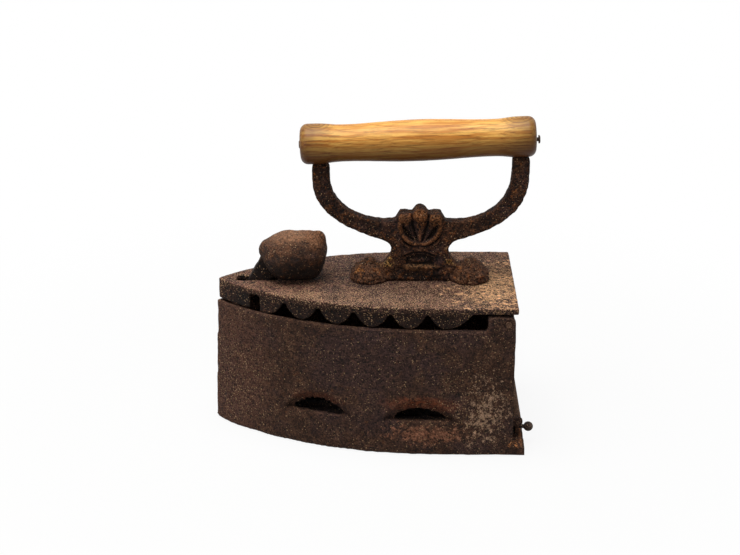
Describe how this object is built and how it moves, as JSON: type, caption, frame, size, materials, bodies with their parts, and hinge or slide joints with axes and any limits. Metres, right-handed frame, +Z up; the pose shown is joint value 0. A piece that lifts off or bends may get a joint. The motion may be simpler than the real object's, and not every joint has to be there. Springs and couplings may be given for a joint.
{
  "type": "clothes iron",
  "caption": "Charcoal clothes iron: cast iron firebox with side vents, hinged lid with a scalloped skirt and nose latch, yoke with a wooden grip, and a rear draught flap.",
  "frame": {"origin": "on the sole face, in the middle plane, half way along the lid", "axes": "+X towards the nose, +Y towards the iron's left side, +Z up"},
  "size_m": [0.2196, 0.114, 0.2192],
  "materials": {
    "firebox_iron": "rusted and pitted",
    "lid_iron": "rusted, with pale scale",
    "yoke_iron": "coarse rust",
    "latch_iron": "smooth dark rust",
    "sooty_iron": "sooty",
    "pin_steel": "rusted wrought pins",
    "nail_steel": "dark drawn wire",
    "grip_wood": "turned, worn smooth"
  },
  "bodies": {
    "firebox": {"body": "firebox_iron", "grate": "sooty_iron", "lid_hinge_pin": "pin_steel", "flap_pin": "pin_steel"},
    "lid": {"lid": "lid_iron", "handle_yoke": "yoke_iron", "front_rivet": "yoke_iron", "rear_rivet": "yoke_iron", "front_washer": "pin_steel", "rear_washer": "pin_steel", "grip": "grip_wood", "front_nail": "nail_steel", "rear_nail": "nail_steel", "latch_pin": "pin_steel"},
    "latch": {"latch": "latch_iron"},
    "draught_flap": {"draught_flap": "sooty_iron", "flap_knob": "nail_steel"}
  },
  "joints": [
    {"name": "lid_hinge", "type": "hinge", "parent": "firebox", "child": "lid", "pos_m": [-0.094, 0, 0.0945], "axis": [0, -1, 0], "range_deg": [0, 95]},
    {"name": "latch_pivot", "type": "hinge", "parent": "lid", "child": "latch", "pos_m": [0.077, 0, 0.096], "axis": [0, 1, 0], "range_deg": [0, 45]},
    {"name": "flap_hinge", "type": "hinge", "parent": "firebox", "child": "draught_flap", "pos_m": [-0.1032, 0, 0.0185], "axis": [0, 1, 0], "range_deg": [0, 95]}
  ]
}
